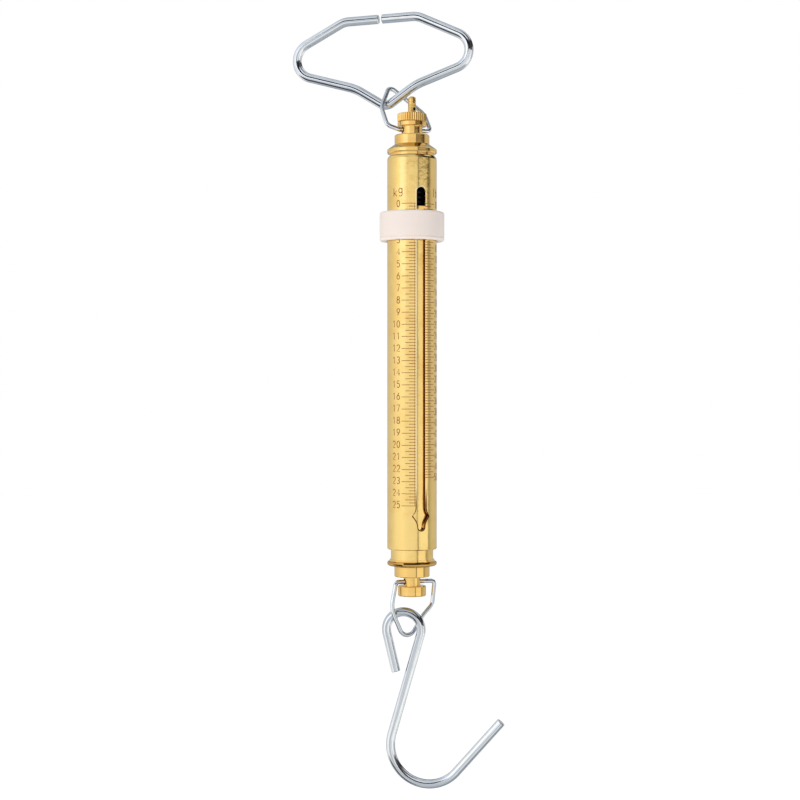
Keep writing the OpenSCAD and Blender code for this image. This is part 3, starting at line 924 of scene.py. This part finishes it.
def lettering(words):
    # words: text, middle in mm along the arc, level of the middle in mm, width and height of a sign, gap
    points, edges = [], []
    for text, middle, level, width, height, gap in words:
        left = middle - (len(text) * width + (len(text) - 1) * gap) / 2
        for letter in text:
            for stroke in signs[letter]:
                first = len(points)
                points += [((left + x * width) * mm, 0, (level + (y - 0.5) * height) * mm) for x, y in stroke]
                edges += [(i, i + 1) for i in range(first, len(points) - 1)]
            left += width + gap
    mesh = bpy.data.meshes.new("letteringLines")
    mesh.from_pydata(points, edges, [])
    return mesh


def scaleWords(spec, arcOf):
    width, height, gap = spec["digitWidth"], spec["digitHeight"], spec["digitGap"]
    words = []
    # the kilogram numerals line up on their right edge
    for n in range(spec["kgCount"] + 1):
        half = (len(str(n)) * (width + gap) - gap) / 2
        level = spec["kgZero"] - n * spec["numberStep"]
        words.append((str(n), spec["kgRight"] * arcOf - half, level, width, height, gap))
    for n in range(0, spec["lbCount"] + 1, 2):
        level = spec["lbZero"] - n * spec["lbStep"]
        words.append((str(n), spec["lbNumbers"] * arcOf, level, width, height, gap))
    for text in ("kg", "lb"):
        middle = spec[text + "Unit"] * arcOf
        words.append((text, middle, spec["unitLevel"], spec["unitWidth"], spec["unitHeight"], gap))
    return words


def makeGraduation(spec):
    arcOf = math.radians(1) * spec["radius"]  # mm of arc for one degree
    common = {"Radius": spec["radius"] * mm, "Proud": spec["proud"] * mm, "Sunk": spec["sunk"] * mm}
    ticks, strokes, made = tickTree(), strokeTree(), []
    for side, name in ((-1.0, "kg"), (1.0, "lb")):
        divisions = spec[name + "Divisions"]
        longest, middle, short = (v * arcOf * mm for v in spec[name + "Lengths"])
        made.append(grow(name + "Ticks", ticks, {
            **common, "Count": spec[name + "Count"] * divisions + 1,
            "Spacing": spec[name + "Step"] / divisions * mm,
            "Top": spec[name + "Zero"] * mm, "Edge": spec[name + "Edge"] * arcOf * mm, "Side": side,
            "Middle Every": spec["middleEvery"], "Long Every": spec["longEvery"], "Short": short,
            "Middle": middle, "Long": longest, "Line Width": spec["lineWidth"] * mm}, markFill))
    drawn = {**common, "Stroke Width": spec["strokeWidth"] * mm}
    made.append(grow("numerals", strokes, drawn, markFill, lettering(scaleWords(spec, arcOf))))
    # one fine line closes the kilogram ticks beside the slot
    rim = bpy.data.meshes.new("rimLine")
    ends = [spec["kgZero"], spec["kgZero"] - spec["kgCount"] * spec["kgStep"]]
    rim.from_pydata([(spec["rimLine"] * arcOf * mm, 0, level * mm) for level in ends], [(0, 1)], [])
    drawn = {**common, "Stroke Width": spec["rimWidth"] * mm}
    made.append(grow("closingLine", strokes, drawn, markFill, rim))
    for piece in made:
        settle(piece, caseFrame, 40)
        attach(piece, "case")


makeGraduation(graduation)
print("graduation rolled on")


# floor, light and camera

studio = {
    "floorHeight": -0.562, "floorRadius": 6.0, "floorGlow": 0.5, "floorColor": (0.93, 0.93, 0.93, 1),
    "evenLight": 0.55,
    "keyPower": 5.0, "keyPlace": (-0.9, -1.0, 0.5), "keyAim": (0.0, 0.0, -0.2), "keySize": (0.7, 0.9),
    "lens": 78.8, "cameraPlace": (9.97, -892.5, -194.07),
    # what the metal mirrors: levels by azimuth (0 is towards the viewer, plus is right) around the horizon
    "around": [(-180, 0.50), (-164, 0.56), (-150, 0.68), (-123, 0.76), (-99, 0.88), (-79, 1.03), (-62, 1.06),
               (-52, 1.10), (-42, 1.10), (-32, 1.03), (-18, 1.0), (-4, 0.99), (12, 0.97), (20, 0.93),
               (25, 0.90), (27, 0.28), (30.5, 0.28), (33, 0.98), (60, 0.98), (76, 0.84), (81, 0.46),
               (87, 0.40), (91, 0.50), (97, 0.62), (109, 0.68), (139, 0.64), (152, 0.58), (164, 0.54),
               (180, 0.50)],
    # soft cards: azimuth from and to, elevation from and to, soft edge, color
    "cards": [
        (-74, -26, 3.5, 28, 4, (1.20, 1.20, 1.12)),
        (-59, -31, 3.5, 28, 5, (1.32, 1.40, 1.70)),
        (-190, 190, 30, 95, 3, (0.82, 0.86, 0.90)),
        (-190, 190, 52, 95, 10, (0.62, 0.65, 0.69)),
        (-190, 190, -95, -16, 3, (0.98, 0.96, 0.91)),
        (-190, 190, -95, -42, 7, (0.47, 0.50, 0.54)),
        (33, 79, -42, 6.3, 1, (1.0, 0.98, 0.95)),
        (33, 79, -42, -3, 2, (1.10, 1.10, 1.08)),
        (78, 91, 5.5, 20, 1, (0.24, 0.22, 0.20)),
        (28, 90, 7.95, 80, 0.3, (0.20, 0.17, 0.15)),
        (64, 89, 8.2, 70, 1, (0.05, 0.04, 0.04)),
        (-105, -50, -62, -24, 5, (0.08, 0.09, 0.11)),
        (55, 150, 17, 38, 3, (0.03, 0.03, 0.04)),
        (-42, 42, 11, 34, 1.2, (0.02, 0.02, 0.02)),
        (-190, -150, -60, -11, 3, (0.36, 0.41, 0.47)),
        (-190, -150, 11, 60, 3, (0.36, 0.41, 0.47)),
        (150, 190, -60, -11, 3, (0.36, 0.41, 0.47)),
        (150, 190, 11, 60, 3, (0.36, 0.41, 0.47)),
    ],
}


def makeFloor(spec):
    bpy.ops.mesh.primitive_circle_add(vertices=96, radius=spec["floorRadius"], fill_type="NGON",
                                      location=(0, 0, spec["floorHeight"]))
    floor = bpy.context.object
    floor.name = "paleFloor"
    glow = {"Base Color": spec["floorColor"], "Roughness": 0.85, "Emission Color": (1, 1, 1, 1),
            "Emission Strength": spec["floorGlow"]}
    floor.data.materials.append(newMaterial("paleFloor", glow)[0])
    floor.visible_glossy = False


def mirroredRoom(tree, spec):
    # the ramp around the horizon with the soft cards laid over it
    x, y, z = splitXyz(tree, put(tree, "ShaderNodeTexCoord").outputs["Generated"])
    turn = times(tree, calc(tree, "ARCTAN2", x, times(tree, y, -1.0)), 180 / math.pi)
    rise = times(tree, calc(tree, "ARCSINE", z), 180 / math.pi)
    ramp = put(tree, "ShaderNodeValToRGB", {"Fac": plus(tree, calc(tree, "DIVIDE", turn, 360.0), 0.5)})
    elements = ramp.color_ramp.elements
    while len(elements) > 1:
        elements.remove(elements[0])
    for i, (degrees, level) in enumerate(spec["around"]):
        element = elements[0] if i == 0 else elements.new(degrees / 360 + 0.5)
        element.position = degrees / 360 + 0.5
        element.color = (level, level, level, 1)
    color = ramp.outputs[0]
    for left, right, low, high, soft, tint in spec["cards"]:
        mask = mapRange(tree, turn, left - soft, left + soft, 0.0, 1.0, True)
        others = ((turn, right, 1.0, 0.0), (rise, low, 0.0, 1.0), (rise, high, 1.0, 0.0))
        for value, edge, near, far in others:
            mask = times(tree, mask, mapRange(tree, value, edge - soft, edge + soft, near, far, True))
        color = mixColor(tree, mask, color, (*tint, 1))
    return color


def makeWorld(spec):
    world = bpy.data.worlds.new("softStudio")
    bpy.context.scene.world = world
    world.use_nodes = True
    tree = world.node_tree
    tree.nodes.clear()
    white = (1, 1, 1, 1)
    mirrored, even, plain = (
        put(tree, "ShaderNodeBackground", {"Color": color, "Strength": strength}).outputs[0]
        for color, strength in ((mirroredRoom(tree, spec), 1.0), (white, spec["evenLight"]), (white, 1.0)))
    # glossy rays see the room, diffuse rays an even light and the camera plain white
    path = put(tree, "ShaderNodeLightPath").outputs
    lit = put(tree, "ShaderNodeMixShader", {0: path["Is Diffuse Ray"], 1: mirrored, 2: even}).outputs[0]
    both = put(tree, "ShaderNodeMixShader", {0: path["Is Camera Ray"], 1: lit, 2: plain}).outputs[0]
    put(tree, "ShaderNodeOutputWorld", {"Surface": both})


def makeKeyLight(spec):
    data = bpy.data.lights.new("keyLight", "AREA")
    data.energy, data.shape = spec["keyPower"], "RECTANGLE"
    data.size, data.size_y = spec["keySize"]
    lamp = bpy.data.objects.new("keyLight", data)
    bpy.context.scene.collection.objects.link(lamp)
    lamp.location = spec["keyPlace"]
    way = Vector(spec["keyAim"]) - Vector(spec["keyPlace"])
    lamp.rotation_euler = way.to_track_quat("-Z", "Y").to_euler()
    lamp.visible_glossy = False


def makeCamera(spec):
    data = bpy.data.cameras.new("viewer")
    data.lens, data.sensor_width = spec["lens"], 36.0
    data.clip_start, data.clip_end = 0.01, 100.0
    camera = bpy.data.objects.new("viewer", data)
    bpy.context.scene.collection.objects.link(camera)
    camera.location = Vector(spec["cameraPlace"]) * mm
    camera.rotation_euler = (math.radians(90), 0, 0)
    bpy.context.scene.camera = camera


makeFloor(studio)
makeWorld(studio)
makeKeyLight(studio)
makeCamera(studio)
bpy.context.scene.view_settings.view_transform = "Standard"
print("studio ready")
